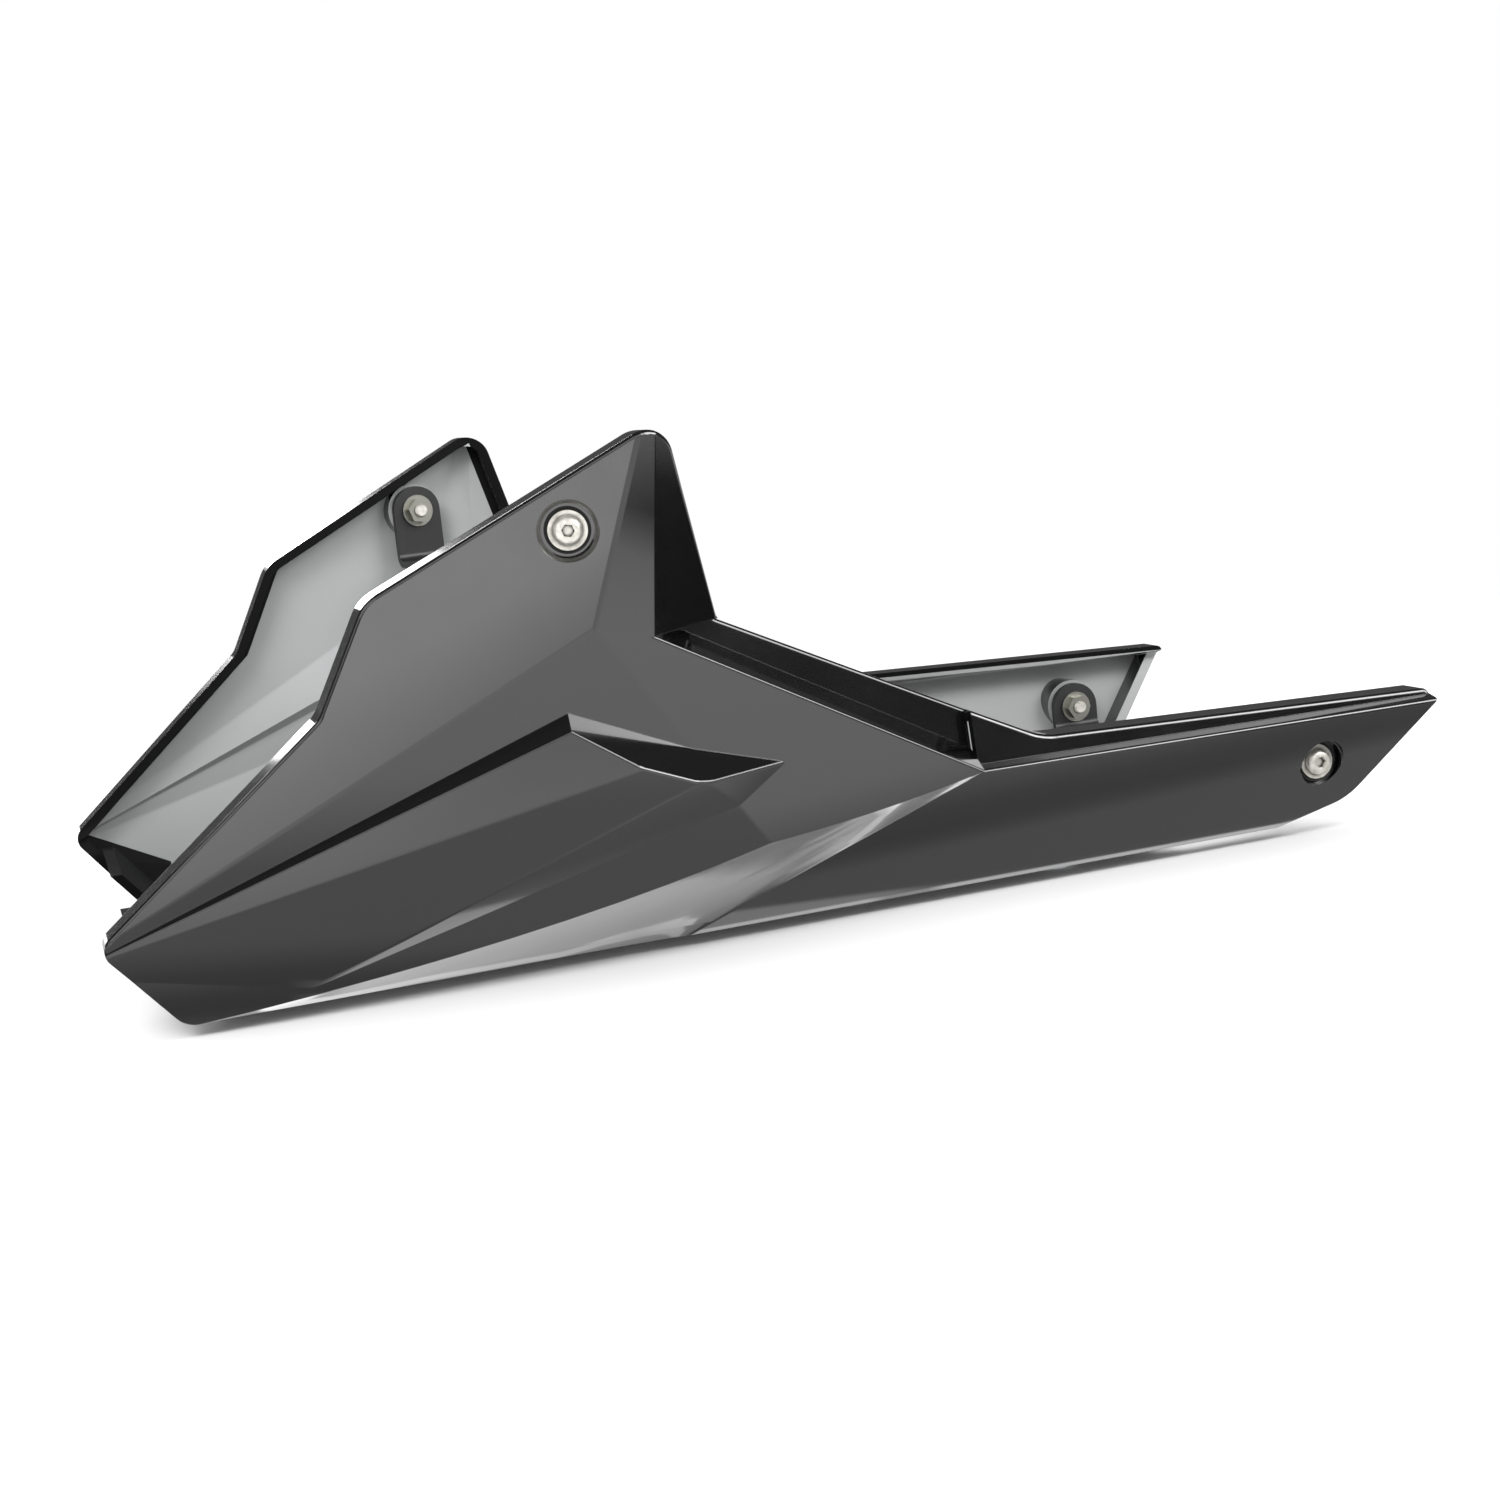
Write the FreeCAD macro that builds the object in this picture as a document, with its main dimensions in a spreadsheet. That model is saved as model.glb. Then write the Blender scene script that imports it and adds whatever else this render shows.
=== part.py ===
"""Motorcycle belly pan: two faceted side shells joined by a floor shell, with brackets and fixings.

Frame: +X to the rear of the motorcycle, +Y to its right side, +Z up. The origin lies in the middle
of the length and of the width, on the plane that the pan rests on. Lengths are in millimetres.
The left shell is modelled at -Y, and the right shell is its mirror image.
"""

import FreeCAD, Part

import math
import os

import Sketcher

V = FreeCAD.Vector
doc = FreeCAD.newDocument("belly_pan")

# Driving dimensions
SIZES = {
    # outline of a side shell, seen from the side
    "nose_x": -259.5,
    "nose_height": 36.5,
    "chin_x": -234.0,
    "lip_kink_x": -178.0,
    "lip_kink_height": 105.5,
    "brow_x": -159.0,
    "brow_height": 142.5,
    "fin_tip_x": -54.0,
    "fin_tip_height": 193.5,
    "fin_foot_x": -38.0,
    "fin_foot_height": 121.5,
    "waist_x": 88.0,
    "waist_height": 59.5,
    "tail_tip_x": 260.5,
    "tail_tip_height": 53.5,
    "tail_heel_x": 224.0,
    "tail_heel_height": 13.0,
    "heel_x": 194.0,
    "underside_height": 5.0,
    "nose_round": 6.0,
    "chin_round": 9.0,
    "kink_round": 10.0,
    "brow_round": 15.0,
    "fin_round": 10.0,
    "foot_round": 4.0,
    "waist_round": 28.0,
    "tail_round": 3.0,
    "heel_round": 22.0,
    # facets of a side shell: a point on each, its toe (turn about Z) and its lean
    "shell_half_width": 170.0,
    "front_toe": -10.8,
    "flank_inset": 27.2,
    "flank_toe": 7.8,
    "flank_lean": -6.4,
    "shoulder_step": 1.0,
    "shoulder_toe": -3.7,
    "shoulder_lean": -14.0,
    "scoop_inset": 41.0,
    "scoop_toe": -5.5,
    "scoop_lean": -22.0,
    "tail_toe": 2.9,
    "tail_lean": -28.0,
    "crease_corner_x": -85.0,
    "crease_corner_height": 125.0,
    "waist_corner_x": 60.6,
    "waist_corner_height": 51.4,
    # lower facet: its crease climbs in a straight line from the chin to the waist corner
    "crease_front_x": -236.0,
    "crease_front_height": 4.0,
    "crease_second_x": -118.0,
    "crease_third_x": -48.0,
    "foot_front_x": -262.0,
    "foot_second_x": -152.0,
    "foot_third_x": -100.0,
    "keel_x": -52.0,
    "chin_flare": 10.0,
    # air scoop: corners in side view
    "scoop_tip_x": -207.0,
    "scoop_tip_height": 54.5,
    "scoop_peak_x": -96.0,
    "scoop_peak_height": 97.0,
    "scoop_end_x": -18.5,
    "scoop_end_height": 68.0,
    "ridge_corner_x": -52.7,
    "ridge_corner_height": 68.7,
    "ridge_fold_x": -37.4,
    "ridge_fold_height": 55.5,
    "ridge_fade_x": -73.7,
    "ridge_fade_height": 45.1,
    "ledge_slope": 1.05,
    # bevel behind the fin, and the ledges along the top edge
    "bevel_top_x": -57.0,
    "bevel_foot_x": -64.0,
    "bevel_foot_height": 119.3,
    "bevel_depth": 11.5,
    "ledge_inward": 12.0,
    "ledge_rise": 7.0,
    "tail_ledge_inward": 6.0,
    "tail_ledge_rise": 1.5,
    "tail_ledge_drop": 4.5,
    # walls and edges
    "wall": 4.0,
    "rim_depth": 15.0,
    "crease_round": 6.0,
    "ridge_round": 4.0,
    "lip_round": 1.2,
    "bevel_round": 1.5,
    "rim_round": 1.6,
    "flange_edge": 14.0,
    "flange_front_x": -205.0,
    "flange_rear_x": 150.0,
    # panel fixings, measured inward along the screw axis from the outer face of the shell
    "front_screw_x": -90.0,
    "screw_below_tip": 35.0,
    "rear_screw_x": 208.5,
    "rear_screw_height": 30.5,
    "recess_diameter": 18.5,
    "recess_mouth": 21.0,
    "recess_lead_in": 1.5,
    "recess_depth": 7.0,
    "recess_floor": 3.5,
    "boss_wall": 3.0,
    "grommet_bore": 10.0,
    "grommet_flange": 16.0,
    "grommet_lip": 1.5,
    "sleeve_bore": 6.4,
    "sleeve_wall": 1.0,
    "screw_thread": 6.0,
    "screw_length": 16.0,
    "screw_flange": 13.6,
    "screw_flange_thick": 1.2,
    "screw_head": 10.2,
    "screw_head_height": 3.3,
    "screw_dome_run": 2.4,
    "screw_dome_drop": 2.2,
    "screw_tip_chamfer": 0.6,
    "screw_socket": 4.0,
    "socket_depth": 2.1,
    "nut_flats": 10.0,
    "nut_height": 5.0,
    "nut_flange": 14.2,
    "nut_flange_thick": 1.2,
    "thread_gap": 0.05,
    # brackets
    "bracket_thick": 3.0,
    "bracket_width": 22.0,
    "bracket_bend": 3.0,
    "bracket_hole": 8.4,
    "front_bracket_drop": 22.0,
    "front_bracket_reach": 50.0,
    "rear_bracket_drop": 10.0,
    "rear_bracket_reach": 46.0,
    # floor shell and seams
    "floor_thick": 3.5,
    "floor_edge": 12.0,
    "floor_set_back": 5.0,
    "floor_step_x": -192.0,
    "floor_rear_x": 140.0,
    "floor_corner": 22.0,
    "lip_half_width": 118.0,
    "lip_top_height": 32.0,
    "lip_notch_half_width": 38.0,
    "lip_notch_height": 17.0,
    "floor_rib_height": 6.0,
    "floor_rib_end": 20.0,
    "floor_rib_thick": 2.5,
    "floor_rib_pitch": 50.0,
    "drain_x": 60.0,
    "drain_length": 76.0,
    "drain_width": 44.0,
    "seam_half_width": 92.0,
    "seam_first_x": -151.0,
    "seam_pitch": 86.0,
    "seam_thread": 5.0,
    "seam_length": 15.0,
    "seam_head": 9.5,
    "seam_head_chamfer": 0.8,
    "seam_socket": 3.0,
    "seam_socket_depth": 1.8,
    "washer_diameter": 14.0,
    "washer_thick": 1.5,
    "seam_nut_flats": 8.0,
    "seam_nut_height": 4.7,
    "seam_nut_skirt": 11.5,
    "seam_nut_skirt_thick": 1.1,
    "hole_clearance": 0.3,
}

# Sizes that follow from the driving ones
DERIVED = {
    "front_screw_height": "fin_tip_height - screw_below_tip",
    "flank_half_width": "shell_half_width - flank_inset",
    "shoulder_half_width": "shell_half_width + shoulder_step",
    "scoop_half_width": "shell_half_width - scoop_inset",
    "floor_half_width": "seam_half_width + floor_edge",
    "floor_front_x": "chin_x + floor_set_back",
    "lip_slant": "(chin_x - nose_x) / (nose_height - underside_height)",
    "flange_inner_half_width": "seam_half_width - flange_edge",
    "half_length": "(tail_tip_x - nose_x) / 2",
}

sheet = doc.addObject("Spreadsheet::Sheet", "Sizes")
for row, (name, number) in enumerate(SIZES.items(), start=1):
    sheet.set("A%d" % row, name)
    sheet.set("B%d" % row, str(number))
    sheet.setAlias("B%d" % row, name)
for row, (name, formula) in enumerate(DERIVED.items(), start=len(SIZES) + 1):
    sheet.set("A%d" % row, name)
    sheet.set("B%d" % row, "=" + formula)
    sheet.setAlias("B%d" % row, name)
doc.recompute()


def size(name):
    """Value of one driving dimension."""
    return float(getattr(sheet, name))


def mirrored(shape):
    """The same shape on the other side of the motorcycle."""
    return shape.mirror(V(0, 0, 0), V(0, 1, 0))


def rounded_outline(corners, inset=0.0):
    """Closed wire in the plane y = 0 through corners (x, z, radius), with an arc at each corner."""
    count = len(corners)
    points = [V(x, 0, z) for x, z, _ in corners]
    arcs = []
    for i, (_, _, radius) in enumerate(corners):
        here, before, after = points[i], points[i - 1], points[(i + 1) % count]
        back = (before - here).normalize()
        ahead = (after - here).normalize()
        half = back.getAngle(ahead) / 2
        reach = radius / math.tan(half)
        middle = (back + ahead).normalize() * (radius / math.sin(half) - radius)
        arcs.append(Part.Arc(here + back * reach, here + middle, here + ahead * reach))
    edges = []
    for i, arc in enumerate(arcs):
        edges.append(arc.toShape())
        following = arcs[(i + 1) % count]
        edges.append(Part.LineSegment(arc.EndPoint, following.StartPoint).toShape())
    wire = Part.Wire(Part.__sortEdges__(edges))
    if inset:
        wire = wire.makeOffset2D(-inset, 0)
    return wire


def prism(wire, y_from, y_to):
    """Solid from a wire in the plane y = 0, drawn along Y."""
    face = Part.Face(wire)
    face.translate(V(0, y_from, 0))
    return face.extrude(V(0, y_to - y_from, 0))


class Facet:
    """A flat face of the left shell: y as a linear function of x and z."""

    def __init__(self, x, half_width, z, toe, lean):
        self.point = V(x, -half_width, z)
        self.along = math.tan(math.radians(toe))
        self.upward = math.tan(math.radians(lean))

    def depth(self, x, z):
        return self.point.y + self.along * (x - self.point.x) + self.upward * (z - self.point.z)

    def at(self, x, z):
        return V(x, self.depth(x, z), z)

    def block(self, footprint, thickness):
        """Solid behind the facet over a footprint of (x, z) corners."""
        corners = [self.at(x, z) for x, z in footprint]
        face = Part.Face(Part.makePolygon(corners + corners[:1]))
        return face.extrude(V(0, thickness, 0))


def meet(first, second, third):
    """Corner where three facets meet."""
    a1, b1 = first.along - second.along, first.upward - second.upward
    a2, b2 = first.along - third.along, first.upward - third.upward
    c1 = second.depth(0, 0) - first.depth(0, 0)
    c2 = third.depth(0, 0) - first.depth(0, 0)
    det = a1 * b2 - a2 * b1
    x = (c1 * b2 - c2 * b1) / det
    z = (a1 * c2 - a2 * c1) / det
    return first.at(x, z)


REACH = 1.3 * size("half_length")
HIGH = 1.3 * size("fin_tip_height")
WIDE = 1.5 * size("shell_half_width")
LOW = -0.2 * size("fin_tip_height")

waist = (size("waist_corner_x"), size("waist_corner_height"))
keel = (size("keel_x"), size("underside_height"))

front = Facet(size("front_screw_x"), size("shell_half_width"), size("front_screw_height"),
              size("front_toe"), 0.0)
flank = Facet(waist[0], size("flank_half_width"), waist[1], size("flank_toe"), size("flank_lean"))
shoulder = Facet(size("crease_corner_x"), size("shoulder_half_width"), size("crease_corner_height"),
                 size("shoulder_toe"), size("shoulder_lean"))
scoop = Facet(size("chin_x"), size("scoop_half_width"), size("underside_height"),
              size("scoop_toe"), size("scoop_lean"))
tail = Facet(waist[0], size("flank_half_width"), waist[1], size("tail_toe"), size("tail_lean"))

OUTLINE = [
    (size("chin_x"), size("underside_height"), size("chin_round")),
    (size("nose_x"), size("nose_height"), size("nose_round")),
    (size("lip_kink_x"), size("lip_kink_height"), size("kink_round")),
    (size("brow_x"), size("brow_height"), size("brow_round")),
    (size("fin_tip_x"), size("fin_tip_height"), size("fin_round")),
    (size("fin_foot_x"), size("fin_foot_height"), size("foot_round")),
    (size("waist_x"), size("waist_height"), size("waist_round")),
    (size("tail_tip_x"), size("tail_tip_height"), size("tail_round")),
    (size("tail_heel_x"), size("tail_heel_height"), size("heel_round")),
    (size("heel_x"), size("underside_height"), size("heel_round")),
]


def wedge(points, direction):
    """Prism from a closed polygon of 3-D points, drawn along a direction."""
    face = Part.Face(Part.makePolygon(points + points[:1]))
    return face.extrude(direction)


def plane_through(a, b, c):
    """A point on a plane and the plane's normal."""
    return a, (b - a).cross(c - a).normalize()


def facet_plane(facet):
    return plane_through(facet.at(0, 0), facet.at(REACH, 0), facet.at(0, HIGH))


def edges_between(shape, first, second):
    """Straight edges of a shape that lie on both planes."""
    found = []
    for edge in shape.Edges:
        ends = [vertex.Point for vertex in edge.Vertexes]
        off = [abs((end - point).dot(normal)) for end in ends for point, normal in (first, second)]
        if edge.Length > 0.5 and max(off) < 0.02:
            found.append(edge)
    return found


def soften(shape, radius, pairs):
    """Round the edges between each pair of planes."""
    edges = []
    for first, second in pairs:
        edges += edges_between(shape, first, second)
    return shape.makeFillet(radius, edges)


def plane_block(a, b, c, outside):
    """Large block on the side of the plane a, b, c that holds the point outside."""
    normal = (b - a).cross(c - a).normalize()
    if (outside - a).dot(normal) < 0:
        normal = normal * -1
    side = 4 * REACH
    block = Part.makeBox(side, side, side, V(-side / 2, -side / 2, 0))
    block.Placement = FreeCAD.Placement(a, FreeCAD.Rotation(V(0, 0, 1), normal))
    return block


def footprint(corners):
    """Prism along Y through the whole body over (x, z) corners."""
    points = [V(x, 0, z) for x, z in corners]
    return prism(Part.makePolygon(points + points[:1]), -WIDE, WIDE)


def corner_on(facet, name):
    """Point on a facet at the side-view place called name_x, name_height."""
    return facet.at(size(name + "_x"), size(name + "_height"))


def scoop_blister():
    """Raised air scoop: its own face, two upward ledges and an underside that fades forward."""
    tip = corner_on(shoulder, "scoop_tip")
    peak = corner_on(shoulder, "scoop_peak")
    end = corner_on(flank, "scoop_end")
    corner = corner_on(scoop, "ridge_corner")
    fold = corner_on(shoulder, "ridge_fold")
    fade = corner_on(shoulder, "ridge_fade")
    outward = V(-0.1, -1.0, -size("ledge_slope"))
    above = V(0, -WIDE, 2 * HIGH)
    below = V(0, -WIDE, LOW)
    zone = [(-REACH, LOW), (waist[0], LOW), (waist[0], HIGH), (-REACH, HIGH)]
    block = scoop.block(zone, WIDE)
    block = block.cut(plane_block(tip, peak, peak + outward, above))
    block = block.cut(plane_block(peak, end, end + outward, above))
    block = block.cut(plane_block(corner, fold, fade, below))
    block = block.cut(plane_block(corner, fold, end, below))
    block = block.common(front.block(zone, WIDE))
    skin = facet_plane(front)
    face = facet_plane(scoop)
    under = plane_through(corner, fold, fade)
    nose = plane_through(corner, fold, end)
    rear_ledge = plane_through(peak, end, end + outward)
    front_ledge = plane_through(tip, peak, peak + outward)
    block = soften(block, size("ridge_round"), [(skin, face), (face, under), (under, nose)])
    crisp = [(skin, front_ledge)]
    crisp += [(other, rear_ledge) for other in (skin, face, under, nose)]
    return soften(block, size("lip_round"), crisp)


def lower_facet_cutter():
    """Twisted triangular facet under the scoop, from the chin to the waist corner."""
    low = size("underside_height")
    last = tail.at(*keel)
    wide = -last.y
    first_x, first_z = size("crease_front_x"), size("crease_front_height")
    climb = (waist[1] - first_z) / (waist[0] - first_x)

    def on_crease(facet, x):
        return facet.at(x, first_z + climb * (x - first_x))

    rulings = [
        (V(size("foot_front_x"), -wide - size("chin_flare"), 0.6 * first_z), on_crease(scoop, first_x)),
        (V(size("foot_second_x"), -wide - 0.3 * size("chin_flare"), low),
         on_crease(scoop, size("crease_second_x"))),
        (V(size("foot_third_x"), -wide, low), on_crease(shoulder, size("crease_third_x"))),
        (last, tail.at(*waist)),
    ]
    lines = []
    for foot, top in rulings:
        step = top - foot
        lines.append(Part.Wire([Part.LineSegment(foot - step * 0.4, top + step * 0.45).toShape()]))
    surface = Part.makeLoft(lines, False, False)
    return surface.Faces[0].extrude(V(0, -WIDE, 0))


def ledge_cutter(first, last, inward, rise, height):
    """Notch along the top edge: a floor that rises inward, and a riser behind it."""
    reach_out = 3.0
    profile = [
        first + V(0, -inward * reach_out, -rise * reach_out),
        first + V(0, inward, rise),
        first + V(0, inward + 0.15 * height, rise + height),
        first + V(0, -inward * reach_out, rise + height),
    ]
    return wedge(profile, last - first)


def foot_line(x):
    """Height of the line through the foot of the bevel and the foot of the fin."""
    start_x, start_z = size("bevel_foot_x"), size("bevel_foot_height")
    climb = (size("fin_foot_height") - start_z) / (size("fin_foot_x") - start_x)
    return start_z + climb * (x - start_x)


def split_line():
    """Side-view line through the keel and the waist corner, where the tail facet starts."""
    run = (waist[0] - keel[0]) / (waist[1] - keel[1])
    return [(keel[0] + run * (LOW - keel[1]), LOW), waist, (waist[0], HIGH)]


def fin_body():
    """Fin and middle ahead of the waist corner, with its ledge, bevel and air scoop."""
    zone = [(-REACH, LOW)] + split_line() + [(-REACH, HIGH)]
    body = front.block(zone, WIDE).common(flank.block(zone, WIDE)).common(shoulder.block(zone, WIDE))
    skin, side_face, lower_face = facet_plane(front), facet_plane(flank), facet_plane(shoulder)
    corner = flank.at(*waist)
    foot = corner_on(flank, "bevel_foot")
    left, right = 2 * foot.x, waist[0]
    under_line = [(left, LOW), (right, LOW), (right, foot_line(right)), (left, foot_line(left))]
    above_line = [(left, foot_line(left)), (right, foot_line(right)), (right, 2 * HIGH), (left, 2 * HIGH)]

    inward, rise = size("ledge_inward"), size("ledge_rise")
    ledge = ledge_cutter(foot, corner, inward, rise, foot.z - waist[1])
    ledge_floor = plane_through(foot, corner, foot + V(0, inward, rise))
    body = body.cut(ledge.common(footprint(under_line)))
    body = soften(body, size("lip_round"), [(side_face, ledge_floor)])
    creases = [(skin, side_face), (skin, lower_face), (side_face, lower_face)]
    body = soften(body, size("crease_round"), creases)

    top = flank.at(size("bevel_top_x"), size("fin_tip_height"))
    end = V(size("fin_foot_x"), foot.y + size("bevel_depth"), size("fin_foot_height"))
    bevel = plane_block(top, foot, end, V(REACH, -WIDE, HIGH / 2))
    body = body.cut(bevel.common(footprint(above_line)))
    body = soften(body, size("bevel_round"), [(side_face, plane_through(top, foot, end))])
    body = body.fuse(scoop_blister().common(footprint(zone)))
    return body.cut(lower_facet_cutter())


def tail_body():
    """Long tail behind the waist corner, with the narrow ledge along its top edge."""
    zone = split_line()
    zone = [zone[0], (REACH, LOW), (REACH, HIGH), zone[2], zone[1]]
    start = tail.at(*waist)
    end = tail.at(REACH, size("tail_tip_height") - size("tail_ledge_drop"))
    inward, rise = size("tail_ledge_inward"), size("tail_ledge_rise")
    body = tail.block(zone, WIDE).cut(ledge_cutter(start, end, inward, rise, HIGH / 3))
    ledge_floor = plane_through(start, end, start + V(0, inward, rise))
    return soften(body, size("lip_round"), [(facet_plane(tail), ledge_floor)])


def detailed_body():
    """Solid behind every outer face of the left shell, before the outline is cut."""
    return fin_body().fuse(tail_body()).removeSplitter()


def rim_edges(shape, longest):
    """Long edges where an outer face meets a face cut square by the outline."""
    found = []
    for edge in shape.Edges:
        middle = edge.valueAt((edge.FirstParameter + edge.LastParameter) / 2)
        square = 0
        for face in shape.ancestorsOfType(edge, Part.Face):
            u, v = face.Surface.parameter(middle)
            square += abs(face.normalAt(u, v).y) < 0.001
        if square == 1 and edge.Length > longest and middle.y < -0.5 * size("shell_half_width"):
            found.append(edge)
    return found


def inward_axis(side, which):
    """Point on the outer face and inward direction of a panel screw; side is -1 left, 1 right."""
    if which == "front":
        point = front.at(size("front_screw_x"), size("front_screw_height"))
        direction = V(-front.along, 1, 0).normalize()
    else:
        point = tail.at(size("rear_screw_x"), size("rear_screw_height"))
        direction = V(0, 1, 0)
    if side > 0:
        return V(point.x, -point.y, point.z), V(direction.x, -direction.y, 0)
    return point, direction


def fixing_boss(which, outer):
    """Boss around a recessed panel screw, kept inside the outer form."""
    point, direction = inward_axis(-1, which)
    radius = size("recess_diameter") / 2 + size("boss_wall")
    length = size("recess_depth") + size("recess_floor")
    boss = Part.makeCylinder(radius, radius + length, point - direction * radius, direction)
    return boss.common(outer)


def fixing_cutter(which):
    """Recess with a lead-in, and the grommet hole through its floor."""
    point, direction = inward_axis(-1, which)
    radius = size("recess_diameter") / 2
    mouth = size("recess_mouth") / 2
    lead = size("recess_lead_in")
    start = point - direction * 2 * radius
    recess = Part.makeCylinder(radius, size("recess_depth") + 2 * radius, start, direction)
    cone = Part.makeCone(mouth, radius, lead, point, direction)
    hole = Part.makeCylinder(size("grommet_bore") / 2, 4 * radius, point, direction)
    return recess.multiFuse([cone, hole])


def side_shell():
    """Left shell: outer form, hollowed by the wall and trimmed to an inward rim."""
    wall = size("wall")
    body = detailed_body()
    outer = body.common(prism(rounded_outline(OUTLINE), -WIDE, 0)).Solids[0]
    upper_rim = [edge for edge in rim_edges(outer, size("half_length") / 3)
                 if edge.BoundBox.Center.z > size("nose_height")]
    outer = outer.makeFillet(size("rim_round"), upper_rim)
    inner = body.copy()
    inner.translate(V(0, wall, 0))
    inner = inner.common(prism(rounded_outline(OUTLINE, wall), -WIDE, WIDE))
    behind = body.copy()
    behind.translate(V(0, size("rim_depth"), 0))
    shell = outer.cut(inner).cut(behind)
    flange = Part.makeBox(
        size("flange_rear_x") - size("flange_front_x"),
        size("shell_half_width"),
        wall,
        V(size("flange_front_x"), -size("flange_inner_half_width") - size("shell_half_width"),
          size("underside_height")),
    )
    shell = shell.fuse(flange.common(outer))
    for which in ("front", "rear"):
        shell = shell.fuse(fixing_boss(which, outer))
    for which in ("front", "rear"):
        shell = shell.cut(fixing_cutter(which))
    hole = size("seam_thread") / 2 + size("hole_clearance")
    for i in range(SEAMS):
        x = size("seam_first_x") + i * size("seam_pitch")
        height = size("underside_height") + 2 * wall
        drill = Part.makeCylinder(hole, height, V(x, -size("seam_half_width"), 0))
        shell = shell.cut(drill)
    return shell


SEAMS = 4
NODES = []


def node(thing, label):
    """Register an object as one physical piece of the product."""
    thing.Label = label
    NODES.append(thing)
    return thing


def solid_node(label, shape):
    thing = doc.addObject("Part::Feature", "Shape_" + label)
    thing.Shape = shape
    return node(thing, label)


def origin_plane(body, role):
    """One of the three origin planes of a body."""
    for feature in body.Origin.OriginFeatures:
        if feature.Role == role:
            return feature
    raise ValueError(role)


def outline_sketch(body, name, role, points):
    """Closed polygon through points given as pairs of expressions on the size sheet."""
    sketch = body.newObject("Sketcher::SketchObject", name)
    sketch.AttachmentSupport = (origin_plane(body, role), [""])
    sketch.MapMode = "FlatFace"
    spots = [V(value(across), value(up), 0) for across, up in points]
    count = len(spots)
    for i in range(count):
        sketch.addGeometry(Part.LineSegment(spots[i], spots[(i + 1) % count]), False)
    for i in range(count):
        sketch.addConstraint(Sketcher.Constraint("Coincident", i, 2, (i + 1) % count, 1))
    for i, (across, up) in enumerate(points):
        for kind, axis, text, number in (("DistanceX", -2, across, spots[i].x),
                                         ("DistanceY", -1, up, spots[i].y)):
            if text == "0":
                sketch.addConstraint(Sketcher.Constraint("PointOnObject", i, 1, axis))
                continue
            label = "%s_%d" % (kind, i)
            index = sketch.addConstraint(Sketcher.Constraint(kind, -1, 1, i, 1, number))
            sketch.renameConstraint(index, label)
            sketch.setExpression("Constraints." + label, on_sheet(text))
    return sketch


def on_sheet(text):
    """Expression text with each size name pointed at the sheet."""
    for name in list(SIZES) + list(DERIVED):
        text = text.replace("{" + name + "}", "Sizes." + name)
    return text


def value(text):
    """Number that an expression on the sheet gives now."""
    return float(sheet.evalExpression(on_sheet(text).replace("Sizes.", "")))


def bind(thing, links):
    """Tie properties of an object to expressions on the sheet."""
    for prop, text in links.items():
        thing.setExpression(prop, on_sheet(text))
    return thing


def turned(name, points):
    """Body turned about its Z axis from (radius, height) expression pairs."""
    body = doc.addObject("PartDesign::Body", name)
    sketch = outline_sketch(body, name + "_profile", "XZ_Plane", points)
    turn = body.newObject("PartDesign::Revolution", name + "_turn")
    turn.Profile = sketch
    turn.ReferenceAxis = (sketch, ["V_Axis"])
    turn.Angle = 360.0
    body.Tip = turn
    return body


def hexagon(name, flats, height, start):
    """Hexagonal prism about Z."""
    prism_object = doc.addObject("Part::Prism", name)
    prism_object.Polygon = 6
    return bind(prism_object, {
        "Circumradius": flats + " / 2 / cos(30deg)",
        "Height": height,
        "Placement.Base.z": start,
    })


def cylinder(name, diameter, height, base):
    """Cylinder along Z with a base (x, y, z) of expressions."""
    thing = doc.addObject("Part::Cylinder", name)
    links = {"Radius": "(" + diameter + ") / 2", "Height": height}
    for axis, text in zip("xyz", base):
        links["Placement.Base." + axis] = text
    return bind(thing, links)


def box(name, lengths, base):
    """Box with lengths and base corner of expressions."""
    thing = doc.addObject("Part::Box", name)
    links = dict(zip(("Length", "Width", "Height"), lengths))
    for axis, text in zip("xyz", base):
        links["Placement.Base." + axis] = text
    return bind(thing, links)


def less(name, base, tool):
    thing = doc.addObject("Part::Cut", name)
    thing.Base = base
    thing.Tool = tool
    return thing


def joined(name, things):
    thing = doc.addObject("Part::MultiFuse", name)
    thing.Shapes = things
    return thing


def on_axis(side, which):
    """Placement that lays local Z along the inward screw axis."""
    point, direction = inward_axis(side, which)
    return FreeCAD.Placement(point, FreeCAD.Rotation(V(0, 0, 1), direction))


SIDES = {"left": -1, "right": 1}
SEAT = "({recess_depth} - {grommet_lip})"
TAB = "({recess_depth} + {recess_floor} + {grommet_lip})"
HEAD = "(" + SEAT + " - {screw_flange_thick} - {screw_head_height})"


def panel_screw(tag):
    """Flanged button screw with a hexagon socket."""
    half_head = "{screw_head} / 2"
    tip = "(" + SEAT + " + {screw_length})"
    dome = []
    for step in range(6):
        across = half_head + " - {screw_dome_run} * (1 - sin(%ddeg))" % (18 * step)
        dome.append((across, HEAD + " + {screw_dome_drop} * (1 - cos(%ddeg))" % (18 * step)))
    body = turned("Screw_" + tag, [
        ("0", HEAD),
    ] + dome + [
        (half_head, SEAT + " - {screw_flange_thick}"),
        ("{screw_flange} / 2", SEAT + " - {screw_flange_thick}"),
        ("{screw_flange} / 2", SEAT),
        ("{screw_thread} / 2", SEAT),
        ("{screw_thread} / 2", tip + " - {screw_tip_chamfer}"),
        ("{screw_thread} / 2 - {screw_tip_chamfer}", tip),
        ("0", tip),
    ])
    socket = hexagon("Socket_" + tag, "{screw_socket}", "{socket_depth} + 1", HEAD + " - 1")
    return less("ScrewCut_" + tag, body, socket)


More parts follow.
